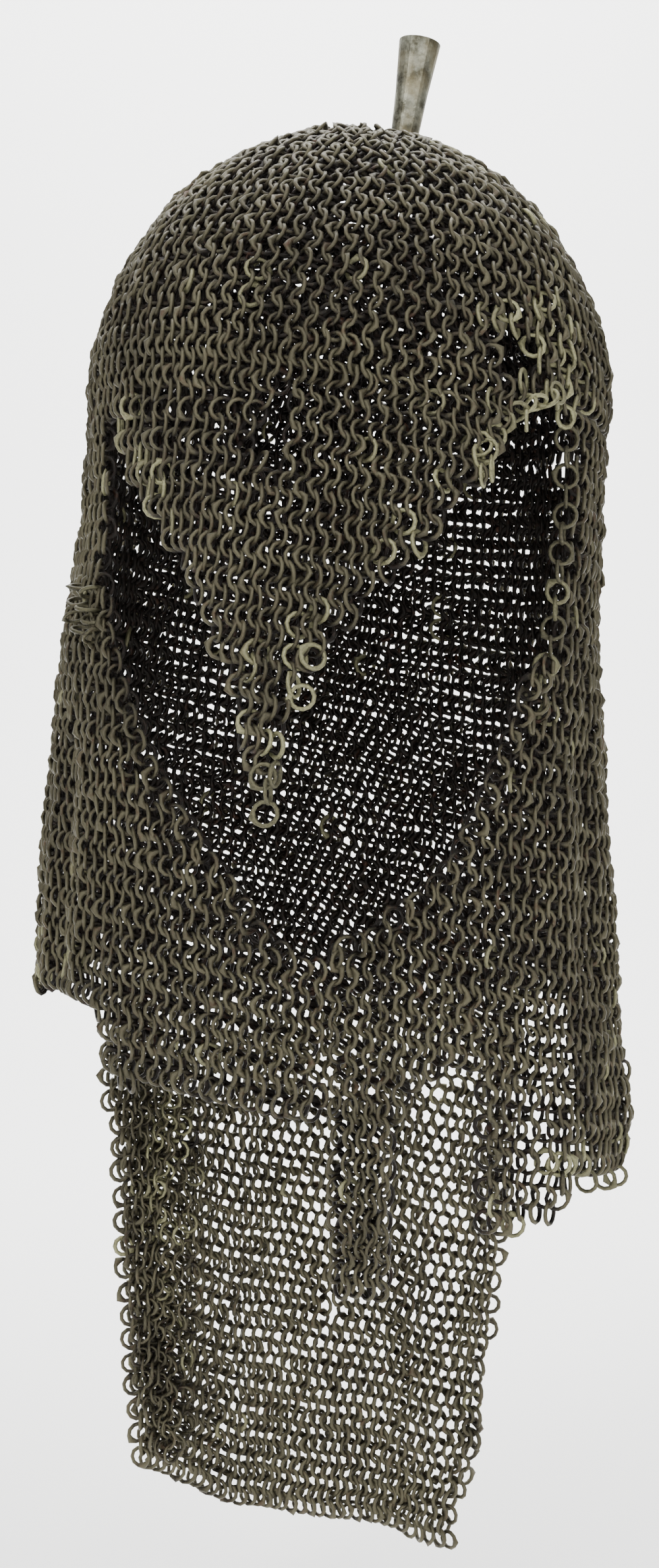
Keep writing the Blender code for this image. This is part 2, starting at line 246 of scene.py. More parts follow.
# all rings of a piece in one mesh, from arrays
def joinRings(name, master, rings):
    count = len(rings["middle"])
    across, up, out = rings["across"], rings["up"], rings["out"]
    across, out = rotated(across, out, np.radians(rings["lean"]))
    across, out = rotated(across, out, np.radians(chance.normal(0, rings["loose"], count)))
    up, out = rotated(up, out, np.radians(chance.normal(0, rings["loose"] * 0.8, count)))
    across, up = rotated(across, up, chance.uniform(0, 2 * np.pi, count))
    axes = np.stack([across, up, out], 1)
    size = rings["radius"] * chance.normal(1, 0.018, count)
    # the line along the wire's middle grows with the ring, and the wire keeps its own thickness
    ringLine = np.array(master["points"])
    flatLength = np.hypot(ringLine[:, 0], ringLine[:, 1])
    ringLine[:, 2] = 0
    ringLine[:, :2] /= flatLength[:, None]
    wire = rings["wire"] * chance.normal(1, 0.05, count) / masterWire
    core = ringLine[None] * size[:, None, None]
    offset = (master["points"] - ringLine)[None] * wire[:, None, None]
    shape = core + offset
    middle = rings["middle"] + chance.normal(0, 0.00016, (count, 3))
    around = np.einsum("kij,kjl->kil", shape, axes)
    points = around + middle[:, None, :]
    perRing = len(master["points"])
    faces = (master["faces"][None] + (np.arange(count) * perRing)[:, None, None]).reshape(-1, 4)
    mesh = bpy.data.meshes.new(name)
    mesh.vertices.add(count * perRing)
    mesh.vertices.foreach_set("co", points.reshape(-1).astype(np.float32))
    mesh.loops.add(faces.size)
    mesh.loops.foreach_set("vertex_index", faces.reshape(-1).astype(np.int32))
    mesh.polygons.add(len(faces))
    mesh.polygons.foreach_set("loop_start", np.arange(0, faces.size, 4).astype(np.int32))
    mesh.polygons.foreach_set("use_smooth", np.ones(len(faces), bool))
    mesh.update(calc_edges=True)
    marksAndShade = np.ones((count, perRing, 4), np.float32)
    marksAndShade[:, :, 0] = rings["tone"][:, None]
    marksAndShade[:, :, 1] = rings["pale"][:, None]
    marksAndShade[:, :, 2] = rings["rust"][:, None] * (0.6 + 0.4 * master["lap"][None])
    # how far outward each point of the ring lies, or how far to either side where both sides show; the
    # material turns it into painted shade, darker on the inner arcs and lighter on the outer arcs
    arcShadeShare = np.einsum("kil,kl->ki", around, rings["out"]) / (size + rings["wire"])[:, None]
    marksAndShade[:, :, 3] = 0.5 + 0.5 * (np.abs(arcShadeShare) if rings.get("bothSides") else arcShadeShare)
    layer = mesh.attributes.new("ringMarksAndShade", "FLOAT_COLOR", "POINT")
    layer.data.foreach_set("color", marksAndShade.reshape(-1))
    piece = bpy.data.objects.new(name, mesh)
    bpy.context.scene.collection.objects.link(piece)
    print(name, count, "rings,", count * len(master["faces"]) * 2, "triangles")
    return piece


def pickRings(rings, keep):
    return {key: (value[keep] if isinstance(value, np.ndarray) else value) for key, value in rings.items()}


def mergeRings(*groups):
    return {key: (np.concatenate([g[key] for g in groups]) if isinstance(groups[0][key], np.ndarray)
                  else groups[0][key]) for key in groups[0]}


# slow waves that keep the rows and columns from lying too straight: across, up and out
sway = {
    "across": [(6, 96, 0.4, 0.30), (11, -150, 2.1, 0.17), (23, 60, 4.0, 0.08)],
    "up": [(7, -84, 1.2, 0.26), (13, 130, 0.3, 0.15), (29, -40, 5.0, 0.08)],
    "out": [(5, 110, 3.0, 0.30), (10, -76, 1.0, 0.25), (19, 170, 2.6, 0.18)],
}


def swayOf(name, angle, z):
    turn = np.radians(angle)
    return sum(size * mm * np.sin(turns * turn + waves * z + start)
               for turns, waves, start, size in sway[name])


def layRings(skin, angle, z, side, pitch, ring, inset=None):
    middle, across, up, out = skinFrame(skin, angle, z, body["wall"] / 2 if inset is None else inset)
    count = len(angle)
    for name, direction in (("across", across), ("up", up), ("out", out)):
        middle = middle + direction * swayOf(name, angle, z)[:, None]
    lean = np.interp(pitch, [4.2 * mm, 6.0 * mm], [weave["leanMost"], weave["leanLeast"]])
    # a few rings stand out of the mail and lie askew
    proud = chance.random(count) < weave["proud"]
    middle = middle + out * (proud * chance.uniform(0.25, 0.7, count) * mm)[:, None]
    askew = np.clip(chance.normal(0, 0.30, count), -0.22, 0.22)
    turned, out = rotated(up, out, proud * askew)
    across, up = across, turned
    tone, pale, rust = ringTones(angle, z, count)
    return {"middle": middle, "across": across, "up": up, "out": out, "angle": angle, "z": z,
            "lean": lean * side, "radius": np.full(count, ring["radius"]),
            "wire": np.full(count, ring["wire"]),
            "tone": tone, "pale": pale, "rust": rust, "loose": ring["loose"]}


# rows of the dome, round an axis that leans towards the tube; reach sets how far apart the rows
# lie, and girth how wide a column counts when its rings are leaned
crownRing = {"radius": 3.27 * mm, "wire": 0.67 * mm, "loose": 6.0, "rowPitch": 4.12 * mm,
             "columns": (108, 81, 60, 45, 33, 24, 18, 12, 7, 3), "closest": 0.80,
             "reach": 0.0893, "girth": 0.648,
             "turn": [-180, -110, -85, 85, 110, 180], "closer": [1.25, 1.25, 1.0, 1.0, 1.25, 1.25]}


# even columns in front and closer ones behind, as turns round the dome
def domeTurns(places):
    fine = np.linspace(-180, 180, 721)
    count = np.cumsum(np.interp(fine, crownRing["turn"], crownRing["closer"]))
    count = (count - count[360]) / (count[-1] - count[0])
    return np.radians(np.interp((places + 0.5) % 1 - 0.5, count, fine))


def domeRows():
    step = math.degrees(crownRing["rowPitch"] / crownRing["reach"])
    tilt = math.radians(weave["tilt"])
    angles, heights, sides, pitches = [], [], [], []
    row = 0
    while True:
        polar = 90 - (row + 0.5) * step
        if polar < 3.5:
            break
        spread = math.sin(math.radians(polar))
        columns = next(count for count in crownRing["columns"]
                       if spread * crownRing["columns"][0] > count * crownRing["closest"])
        turn = domeTurns((np.arange(columns) + 0.5 * (row % 2)) / columns)
        x = spread * np.sin(turn)
        y = -spread * np.cos(turn)
        z = np.full(columns, math.cos(math.radians(polar)))
        x, z = x * math.cos(tilt) + z * math.sin(tilt), -x * math.sin(tilt) + z * math.cos(tilt)
        flat = np.hypot(x, y)
        grow = (flat ** body["domePower"] + np.abs(z) ** body["domePower"]) ** (-1 / body["domePower"])
        angles.append(np.degrees(np.arctan2(x, -y)))
        heights.append(equator + body["domeHeight"] * z * np.where(z > 0, grow, 1))
        sides.append(np.full(columns, 1.0 if row % 2 else -1.0))
        pitches.append(np.full(columns, crownRing["girth"] * spread / columns))
        row += 1
    return [np.concatenate(part) for part in (angles, heights, sides, pitches)]


angle, z, side, pitch = domeRows()
dome = layRings(hangingSkin, angle, z, side, pitch, crownRing)
print("dome rows laid", len(angle))

# rows of the hanging mail, sloping down to the right like the dome's
hangingRing = {"radius": 3.32 * mm, "wire": 0.68 * mm, "loose": 6.0}
columnPitch = {"angle": [-180, -115, -60, -10, 40, 115, 180],
               "pitch": [4.3 * mm, 4.4 * mm, 4.2 * mm, 4.3 * mm, 4.9 * mm, 4.8 * mm, 4.3 * mm]}
rowPitch = {"depth": [0.0, 0.02, 0.19, 0.21, 0.45],
            "pitch": [4.2 * mm, 4.45 * mm, 4.45 * mm, 4.87 * mm, 4.87 * mm]}
columnsGoDown = {"levels": np.linspace(0, 1.02, 52), "step": 0.02, "last": 50.999, "straight": 0.494}


# even columns right round, measured low on the sides
def columnAngles(shift):
    fine = np.linspace(-180, 180, 1441)
    line = hangingSkin(fine, np.full(fine.shape, levelOf(0.30)))
    length = np.linalg.norm(np.diff(line, axis=0), axis=1)
    steps = length / np.interp((fine[1:] + fine[:-1]) / 2, columnPitch["angle"], columnPitch["pitch"])
    count = np.concatenate([[0], np.cumsum(steps)])
    count *= round(count[-1]) / count[-1]
    return np.interp(np.arange(round(count[-1])) + shift, count, fine)


# angles from low to high and how far along the curve each of them lies
def arcShares(low, high, down):
    fine = np.linspace(low, high, 721)
    line = hangingSkin(fine, np.full(fine.shape, levelOf(down)))
    along = np.concatenate([[0], np.cumsum(np.linalg.norm(np.diff(line, axis=0), axis=1))])
    return fine, along / along[-1]


# angle of each column behind at each level: even along the nape, then drawn in with the neck guard
def backColumns(shift):
    start = columnAngles(shift) % 360
    start = np.sort(start[(start >= 90) & (start <= 270)])
    fine, share = arcShares(90, 270, 0.30)
    napeShare = np.interp(start, fine, share)
    fine, share = arcShares(90, 270, columnsGoDown["straight"])
    atNape = np.interp(napeShare, share, fine)
    right, left = (tableAt(edge, columnsGoDown["straight"], "angle") for edge in (panelRight, panelLeft))
    fine, share = arcShares(right, left, columnsGoDown["straight"])
    panelShare = np.interp(atNape, fine, share)
    inPanel = (atNape > right) & (atNape < left)
    table = []
    for down in columnsGoDown["levels"]:
        if down <= columnsGoDown["straight"]:
            fine, share = arcShares(90, 270, down)
            table.append(np.interp(napeShare, share, fine))
            continue
        drawn = 0.75 * tableAt(panelRight, down, "angle") + 0.25 * right
        fine, share = arcShares(drawn, tableAt(panelLeft, down, "angle"), down)
        table.append(np.where(inPanel, np.interp(panelShare, share, fine), np.nan))
    return np.array(table)


def rowDepths(table):
    depth, found = 0.0021, []
    while depth < 0.46:
        found.append(depth)
        depth += np.interp(depth, table["depth"], table["pitch"])
    return found


guardRows = {"start": 0.222, "rows": 37, "hemInset": 0.0044, "length": 0.42, "pitch": 4.9 * mm}


def frontRows():
    angles, heights, sides, pitches = [], [], [], []
    for row, depth in enumerate(rowDepths(rowPitch)):
        if depth > 0.30:
            break
        turn = columnAngles(0.5 if row % 2 else 0.0)
        turn = turn[np.abs(turn) < 115]
        z = np.full(turn.shape, equator - depth)
        for _ in range(6):
            z = equator - depth - rowSlope * hangingSkin(turn, z)[:, 0]
        angles.append(turn)
        heights.append(z)
        sides.append(np.full(turn.shape, -1.0 if row % 2 else 1.0))
        pitches.append(np.interp(turn, columnPitch["angle"], columnPitch["pitch"]))
    return [np.concatenate(part) for part in (angles, heights, sides, pitches)]


# rows of the nape slope like the dome's, those of the neck guard turn little by little to its hem
def backRows():
    tables = backColumns(0.0), backColumns(0.5)
    depths = [depth for depth in rowDepths(rowPitch) if depth < guardRows["start"]]
    shares = [0.0] * len(depths) + list((np.arange(guardRows["rows"]) + 1) / guardRows["rows"])
    depths += [guardRows["start"]] * guardRows["rows"]
    angles, heights, sides, pitches = [], [], [], []
    for row, (depth, share) in enumerate(zip(depths, shares)):
        table = tables[row % 2]
        down = np.full(table.shape[1], depth / body["drop"] + share * guardRows["length"])
        for _ in range(8):
            place = np.clip(down / columnsGoDown["step"], 0, columnsGoDown["last"])
            low = place.astype(int)
            pick = np.arange(table.shape[1])
            turn = table[low, pick] + (place - low) * (table[low + 1, pick] - table[low, pick])
            known = np.where(np.isnan(turn), 180.0, turn)
            x = hangingSkin(known, levelOf(down))[:, 0]
            top = equator - depth - rowSlope * x
            hem = levelOf(np.interp(known, panelHem["angle"], panelHem["down"])) + guardRows["hemInset"]
            down = depthOf((1 - share) * top + share * hem)
        good = ~np.isnan(turn)
        angles.append(turn[good])
        heights.append(levelOf(down)[good])
        sides.append(np.full(good.sum(), -1.0 if row % 2 else 1.0))
        pitches.append(np.full(good.sum(), guardRows["pitch"]))
    return [np.concatenate(part) for part in (angles, heights, sides, pitches)]


angle, z, side, pitch = frontRows()
hanging = layRings(hangingSkin, angle, z, side, pitch, hangingRing)
angle, z, side, pitch = backRows()
behind = layRings(hangingSkin, angle, z, side, pitch, hangingRing)
print("hanging rows laid", len(hanging["angle"]), len(behind["angle"]))

# which ring belongs to which piece: depths and angles where one piece ends and the next begins
edges = {"brow": 0.028, "windowFoot": 0.425, "narrower": 0.17, "seam": -5, "sideEnd": 115, "openHem": 24,
         "lappetTop": 0.510, "lappetFront": 26.2, "lappetBack": 113, "guardTop": 0.494}
margin = {"side": 2.3, "low": 1.5, "hem": 0.0092}
# the open rings down the right edge of the window: place, spacing and the two sizes that take turns
edgeChain = {"clear": 8.2, "inset": 5.4, "start": -102.6, "step": -11.3, "count": 8,
             "open": 8.2, "link": 7.4, "top": 0.040, "foot": 0.215}
# missing rings: across in mm, depth, half sizes in mm, in front or behind
throatHole = (-8.6, 0.499, 5.4, 6.4, True)
tornPatch = (46.2, 0.001, 6.4, 7.6, True)
browHole = (-22.9, 0.060, 5.0, 10.4, True)
upperSlit = (17.2, 0.700, 2.6, 5.6, False)
lowerSlit = (-5.2, 0.774, 2.4, 6.6, False)


def inHole(rings, x, down, halfX, halfZ, front):
    place = rings["middle"]
    dx = (place[:, 0] - x * mm) / (halfX * mm)
    dz = (place[:, 2] - levelOf(down)) / (halfZ * mm)
    return (dx ** 2 + dz ** 2 < 1) & ((place[:, 1] < 0) == front)


brow = levelOf(edges["brow"])
down = depthOf(hanging["z"])
around = hanging["angle"]
under = hanging["z"] < brow
aboveFoot = down < edges["windowFoot"]
aside = margin["side"] * aboveFoot + margin["low"] * ((down > edges["narrower"]) & aboveFoot)
leftKeep = under & (around > -edges["sideEnd"]) & (around < edges["seam"]) \
    & (around < tableAt(leftFace, down, "angle") - aside) \
    & (down < tableAt(leftHem, around, "down") - margin["hem"])
rightKeep = under & (around < edges["sideEnd"]) & (around >= edges["seam"]) \
    & (around > tableAt(rightFace, down, "angle") + aside) \
    & (down < tableAt(rightHem, around, "down") - margin["hem"] * (around < edges["openHem"]))
lappetKeep = under & (around < edges["lappetBack"]) & (around > edges["lappetFront"]) \
    & (down >= edges["lappetTop"]) & (down < tableAt(lappetHem, around, "down") - margin["hem"])
backTurn = behind["angle"] % 360
backDown = depthOf(behind["z"])
napeKeep = (behind["z"] < brow) & (backDown < edges["guardTop"]) \
    & (backTurn >= edges["sideEnd"]) & (backTurn <= 360 - edges["sideEnd"])
panelKeep = (backTurn > tableAt(panelRight, backDown, "angle") + 1.0) & (backDown >= edges["guardTop"])
fromRight = around - tableAt(rightFace, down, "angle")
rightKeep &= (fromRight > edgeChain["clear"]) | (down < edgeChain["top"]) | (down > edgeChain["foot"])
leftKeep &= ~inHole(hanging, *throatHole)
rightKeep &= ~inHole(hanging, *throatHole)
panelKeep &= ~inHole(behind, *upperSlit) & ~inHole(behind, *lowerSlit)

# a row of rings that follows a window's edge down to the throat, open and edge-on by turns
faceBorder = {"leftStart": 0.170, "rightStart": 0.222, "end": 0.424, "step": 4.3 * mm, "inset": 1.8,
              "openLean": 14, "linkLean": 58, "loose": 9, "pitch": 5.0 * mm}


def borderRings(edge, start, inward):
    fine = np.linspace(start, faceBorder["end"], 400)
    turn = tableAt(edge, fine, "angle") + inward * faceBorder["inset"]
    line = hangingSkin(turn, levelOf(fine))
    along = np.concatenate([[0], np.cumsum(np.linalg.norm(np.diff(line, axis=0), axis=1))])
    places = np.arange(0, along[-1], faceBorder["step"])
    at = np.interp(places, along, fine)
    side = np.where(np.arange(len(places)) % 2, 1.0, -1.0)
    rings = layRings(hangingSkin, np.interp(places, along, turn), levelOf(at), side,
                     np.full(len(places), faceBorder["pitch"]), hangingRing)
    rings["lean"] = np.where(side > 0, faceBorder["linkLean"], -faceBorder["openLean"]) * inward
    rings["loose"] = faceBorder["loose"]
    return rings


leftBorder = borderRings(leftFace, faceBorder["leftStart"], -1)
rightBorder = borderRings(rightFace, faceBorder["rightStart"], 1)
print("borders laid", len(leftBorder["z"]) + len(rightBorder["z"]))

# the brow flap: the dome's columns run on and draw together towards the tip
flapRing = {"radius": 3.36 * mm, "wire": 0.65 * mm, "loose": 5.0, "columnStep": 3.75, "side": 2.1,
            "columns": (-26, 16), "longest": 0.145, "tip": 0.300}
flapDraw = {"down": [0.0, 0.028, 0.060, 0.100, 0.200, 0.310], "share": [1.0, 0.97, 0.83, 0.73, 0.68, 0.62],
            "middle": [-8.0, -8.6, -10.5, -13.0, -19.5, -24.5]}
flapPitch = {"depth": [0.0, 0.012, 0.03, 0.2], "pitch": [4.2 * mm, 4.45 * mm, 4.85 * mm, 4.85 * mm]}


def flapRows():
    angles, heights, sides, pitches = [], [], [], []
    tilt = math.radians(weave["tilt"])
    for row, depth in enumerate(rowDepths(flapPitch)):
        if depth > flapRing["longest"]:
            break
        column = np.arange(*flapRing["columns"]) + (0.5 if row % 2 else 0.0)
        turn = np.radians(column * flapRing["columnStep"])
        top = body["halfWidth"] / mm * np.sin(np.arctan2(np.cos(tilt) * np.sin(turn), np.cos(turn)))
        x = top.copy()
        for _ in range(8):
            z = equator - depth - rowSlope * x * mm
            share = tableAt(flapDraw, depthOf(z), "share")
            centre = tableAt(flapDraw, depthOf(z), "middle")
            x = centre + (top - flapDraw["middle"][0]) * share
        inside = np.abs(x) < 80
        angles.append(np.degrees(np.arcsin(np.clip(x * mm / body["halfWidth"], -0.98, 0.98)))[inside])
        heights.append(z[inside])
        sides.append(np.full(inside.sum(), -1.0 if row % 2 else 1.0))
        pitches.append((0.006 * share)[inside])
    return [np.concatenate(part) for part in (angles, heights, sides, pitches)]


angle, z, side, pitch = flapRows()
flap = layRings(flapSkin, angle, z, side, pitch, flapRing)
flapDown = depthOf(flap["z"])
flapKeep = (flap["z"] < brow) & (flapDown < flapRing["tip"]) \
    & (flap["angle"] > tableAt(flapLeft, flapDown, "angle") + flapRing["side"]) \
    & (flap["angle"] < tableAt(flapRight, flapDown, "angle") - flapRing["side"])
flapKeep &= ~inHole(flap, *browHole)
print("flap rows laid", flapKeep.sum())

# the folded margin of the neck guard, on its inner side
foldRing = {"radius": 3.40 * mm, "wire": 0.58 * mm, "loose": 9.0, "top": 0.548, "gap": 0.0006,
            "across": 1.2, "lower": 1.2 * mm, "lowest": -0.4500}
foldHem = {"angle": [207, 220, 234], "down": [0.904, 0.886, 0.876]}
nearFold = (backTurn > tableAt(foldInner, backDown, "angle") + 1.0) \
    & (backTurn < tableAt(panelLeft, backDown, "angle") - 2.2) \
    & (backDown > foldRing["top"]) & (backDown < tableAt(foldHem, backTurn, "down"))
foldRings = layRings(hangingSkin, backTurn[nearFold] + foldRing["across"],
                     behind["z"][nearFold] - foldRing["lower"], -np.sign(behind["lean"][nearFold]),
                     np.full(nearFold.sum(), guardRows["pitch"]), foldRing,
                     inset=body["wall"] * 1.5 + foldRing["gap"])
foldRings = pickRings(foldRings, foldRings["middle"][:, 2] > foldRing["lowest"])
print("fold laid", len(foldRings["z"]))

# the tongue, close rows of short columns: five rings and four by turns
tongueRing = {"radius": 3.25 * mm, "wire": 0.62 * mm, "loose": 4.0, "rowPitch": 3.95 * mm, "lean": 44.0,
              "rows": 14, "top": 0.534, "left": -2.6, "right": 6.6, "halfColumn": 1.15, "pitch": 3.6 * mm}


def tongueRows():
    angles, heights, sides = [], [], []
    for row in range(tongueRing["rows"]):
        aside = tongueRing["halfColumn"] * (row % 2)
        turn = np.linspace(tongueRing["left"] + aside, tongueRing["right"] - aside, 5 - row % 2)
        angles.append(turn + 0.35 * math.sin(row * 0.7))
        heights.append(levelOf(tongueRing["top"]) - row * tongueRing["rowPitch"] - 0.0002 * (turn - 2))
        sides.append(np.full(turn.shape, 1.0 if row % 2 else -1.0))
    return [np.concatenate(part) for part in (angles, heights, sides)]


angle, z, side = tongueRows()
tongue = layRings(hangingSkin, angle, z, side, np.full(angle.shape, tongueRing["pitch"]), tongueRing)
tongue["lean"] = side * tongueRing["lean"]
print("tongue laid")


# materials
def node(tree, kind, place=(0, 0), **values):
    made = tree.nodes.new(kind)
    made.location = place
    for key, value in values.items():
        setattr(made, key, value)
    return made


def mixColours(tree, factor, first, second, place):
    mix = node(tree, "ShaderNodeMix", place, data_type="RGBA")
    for socket, value in ((mix.inputs[0], factor), (mix.inputs[6], first), (mix.inputs[7], second)):
        if isinstance(value, (int, float, tuple)):
            socket.default_value = value
        else:
            tree.links.new(value, socket)
    return mix.outputs[2]


def spread(tree, value, low, high, place, toLow=0.0, toHigh=1.0):
    mapped = node(tree, "ShaderNodeMapRange", place)
    tree.links.new(value, mapped.inputs[0])
    for index, number in enumerate((low, high, toLow, toHigh)):
        mapped.inputs[index + 1].default_value = number
    return mapped.outputs[0]


def noise(tree, coordinates, scale, detail, place, roughness=0.6):
    made = node(tree, "ShaderNodeTexNoise", place)
    made.inputs["Scale"].default_value = scale
    made.inputs["Detail"].default_value = detail
    made.inputs["Roughness"].default_value = roughness
    tree.links.new(coordinates, made.inputs["Vector"])
    return made.outputs["Fac"]


def mailMaterial(name, look):
    material = bpy.data.materials.new(name)
    material.use_nodes = True
    tree = material.node_tree
    shader = tree.nodes["Principled BSDF"]
    place = node(tree, "ShaderNodeTexCoord", (-1400, 0)).outputs["Object"]
    marksAndShade = node(tree, "ShaderNodeAttribute", (-1400, 300), attribute_name="ringMarksAndShade",
                 attribute_type="GEOMETRY")
    parts = node(tree, "ShaderNodeSeparateColor", (-1200, 300))
    tree.links.new(marksAndShade.outputs["Color"], parts.inputs[0])
    tone, pale, rust = parts.outputs[0], parts.outputs[1], parts.outputs[2]
    grain = noise(tree, place, look["grain"], 6, (-1200, 0), 0.7)
    pits = noise(tree, place, look["pits"], 4, (-1200, -200))
    patch = noise(tree, place, look["patch"], 3, (-1200, -400))
    # bare brown metal, with dust and wear where the grain and the ring's tone meet, and painted shade from
    # the ring's outer arc: inner arcs darker, outer arcs lighter
    wear = node(tree, "ShaderNodeMath", (-1000, 100), operation="ADD")
    tree.links.new(spread(tree, grain, 0.35, 0.65, (-1150, 150), 0, 0.55), wear.inputs[0])
    tree.links.new(spread(tree, tone, 0.0, 1.0, (-1150, 50), -0.12, 0.50), wear.inputs[1])
    outer = node(tree, "ShaderNodeMath", (-850, 150), operation="ADD")
    tree.links.new(wear.outputs[0], outer.inputs[0])
    # painted shade: the outward share of each ring point darkens the inner arcs and lightens the outer arc
    tree.links.new(spread(tree, marksAndShade.outputs["Alpha"], 0.38, 0.72, (-1000, 250), -0.85, 0.42),
                   outer.inputs[1])
    # one share for dust, wear and painted shade together
    dustAndShade = spread(tree, outer.outputs[0], 0.1, 0.95, (-750, 150))
    colour = mixColours(tree, dustAndShade, look["dark"], look["dust"], (-600, 100))
    rustShare = node(tree, "ShaderNodeMath", (-850, -150), operation="MULTIPLY")
    tree.links.new(spread(tree, pits, 0.50, 0.66, (-1000, -200)), rustShare.inputs[0])
    tree.links.new(spread(tree, rust, 0.2, 0.9, (-1000, -100), 0.15, 1.0), rustShare.inputs[1])
    colour = mixColours(tree, rustShare.outputs[0], colour, look["rust"], (-500, 50))
    stained = spread(tree, patch, 0.42, 0.66, (-700, -300), 0, 0.35)
    colour = mixColours(tree, stained, colour, look["stain"], (-350, 50))
    paleShare = node(tree, "ShaderNodeMath", (-500, 300), operation="MULTIPLY")
    tree.links.new(pale, paleShare.inputs[0])
    tree.links.new(spread(tree, grain, 0.30, 0.62, (-700, 300), 0.35, 1.0), paleShare.inputs[1])
    colour = mixColours(tree, paleShare.outputs[0], colour, look["pale"], (-200, 100))
    tree.links.new(colour, shader.inputs["Base Color"])
    rough = spread(tree, grain, 0.3, 0.7, (-500, -400), look["smooth"], look["rough"])
    tree.links.new(rough, shader.inputs["Roughness"])
    shader.inputs["Metallic"].default_value = look["metallic"]
    bump = node(tree, "ShaderNodeBump", (-200, -300))
    bump.inputs["Strength"].default_value = look["bump"]
    bump.inputs["Distance"].default_value = 0.0004
    tree.links.new(grain, bump.inputs["Height"])
    tree.links.new(bump.outputs[0], shader.inputs["Normal"])
    return material


# the dust colour is also the lit end of the painted shade on the ring arcs
ironLook = {"grain": 1500, "pits": 420, "patch": 34, "dark": (0.008, 0.0055, 0.0033, 1),
            "dust": (0.111, 0.101, 0.060, 1), "rust": (0.075, 0.030, 0.015, 1),
            "stain": (0.011, 0.008, 0.005, 1), "pale": (0.38, 0.37, 0.205, 1),
            "smooth": 0.34, "rough": 0.66, "metallic": 0.55, "bump": 0.45}
iron = mailMaterial("mailIron", ironLook)
print("mail material made")


def finishPiece(piece, nodes):
    piece.data.materials.append(iron)
    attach(piece, "root")
    if nodes:
        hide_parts(*nodes)
    return piece


# heavier and closer rings where the mail is only seen through the front; the nape and neck guard rings are
# also made paler as painted light
crownBackRing = {"radius": 3.42 * mm, "wire": 0.78 * mm, "lean": 27.0}
napeRing = {"radius": 3.52 * mm, "wire": 0.78 * mm, "lean": 27.0, "paintedLightPaler": 0.3, "split": 0.26}
guardRing = {"radius": 3.52 * mm, "smaller": 0.30 * mm, "wire": 0.78 * mm, "lean": 27.0, "leanMore": 13.0,
             "paintedLightPaler": 0.3, "from": 0.53, "over": 0.07}

# the hanging rows start where the dome's rows end
belowTilt = dome["z"] + rowSlope * dome["middle"][:, 0] >= equator - 0.001
crownDome = pickRings(dome, (dome["z"] >= brow) & belowTilt & ~inHole(dome, *tornPatch))
inFront = np.abs(hanging["angle"]) < 90
crownFrontSkirt = pickRings(hanging, ~under & inFront & ~inHole(hanging, *tornPatch))
crownBackSkirt = pickRings(behind, behind["z"] >= brow)
crownAll = mergeRings(crownDome, crownFrontSkirt, crownBackSkirt)
ahead = np.cos(np.radians(crownAll["angle"])) > 0
finishPiece(joinRings("crownFront", plainRing, pickRings(crownAll, ahead)), ["crown"])
crownBack = pickRings(crownAll, ~ahead)
crownBack["radius"][:] = crownBackRing["radius"]
crownBack["wire"][:] = crownBackRing["wire"]
crownBack["lean"] = np.sign(crownBack["lean"]) * crownBackRing["lean"]
finishPiece(joinRings("crownBack", farRing, crownBack), ["crown"])
finishPiece(joinRings("faceFlap", plainRing, pickRings(flap, flapKeep)), ["face_flap"])
leftRings = mergeRings(pickRings(hanging, leftKeep), leftBorder)
finishPiece(joinRings("leftSide", sideRing, leftRings), ["left_side"])
rightRings = mergeRings(pickRings(hanging, rightKeep), rightBorder)
finishPiece(joinRings("rightSide", sideRing, rightRings), ["right_side"])
finishPiece(joinRings("rightLappet", plainRing, pickRings(hanging, lappetKeep)), ["right_lappet"])
finishPiece(joinRings("chinTongue", fineRing, tongue), ["chin_tongue"])
napeRings = pickRings(behind, napeKeep)
napeRings["radius"][:] = napeRing["radius"]
napeRings["wire"][:] = napeRing["wire"]
napeRings["lean"] = np.sign(napeRings["lean"]) * napeRing["lean"]
# painted light: the nape rings are made paler to stand in for light that hardly reaches inside the hood
napeRings["tone"] = np.clip(napeRings["tone"] + napeRing["paintedLightPaler"], 0, 1)
upper = napeRings["z"] > levelOf(napeRing["split"])
finishPiece(joinRings("napeUpper", farRing, pickRings(napeRings, upper)), ["nape"])
finishPiece(joinRings("napeLower", farRing, pickRings(napeRings, ~upper)), ["nape"])
guard = pickRings(behind, panelKeep)
lower = np.clip((depthOf(guard["z"]) - guardRing["from"]) / guardRing["over"], 0, 1)
guard["lean"] = np.sign(guard["lean"]) * (guardRing["lean"] + guardRing["leanMore"] * lower)
guard["wire"][:] = guardRing["wire"]
guard["radius"] = guardRing["radius"] - guardRing["smaller"] * lower
# painted light: the guard rings are made paler to stand in for light on the panel's inner side
guard["tone"] = np.clip(guard["tone"] + guardRing["paintedLightPaler"], 0, 1)
# these show their inner side, so their painted shade lights the arcs on either side alike, the inner arcs
# too
guard["bothSides"] = foldRings["bothSides"] = napeRings["bothSides"] = True
finishPiece(joinRings("backPanel", farRing, guard), ["back_panel"])
finishPiece(joinRings("panelFold", farRing, foldRings), ["panel_fold"])
print("mail pieces made")

# single rings that hang loose: x, y, z in mm, turn, tip, outer size in mm, paleness
singleWire = 0.62  # mm


def singleRings(name, rows, nodes):
    count = len(rows)
    table = np.array(rows, float)
    turn, tip = np.radians(table[:, 3]), np.radians(table[:, 4])
    across = np.stack([np.cos(turn), np.sin(turn), np.zeros(count)], -1)
    up = np.stack([-np.sin(turn) * np.sin(tip), np.cos(turn) * np.sin(tip), np.cos(tip)], -1)
    rings = {"middle": table[:, :3] * mm, "across": across, "up": up, "out": np.cross(across, up),
             "lean": np.zeros(count), "radius": (table[:, 5] / 2 - singleWire) * mm,
             "wire": np.full(count, singleWire * mm),
             "tone": np.full(count, 0.9), "pale": table[:, 6], "rust": np.full(count, 0.3), "loose": 0.0}
    return finishPiece(joinRings(name, fineRing, rings), nodes)


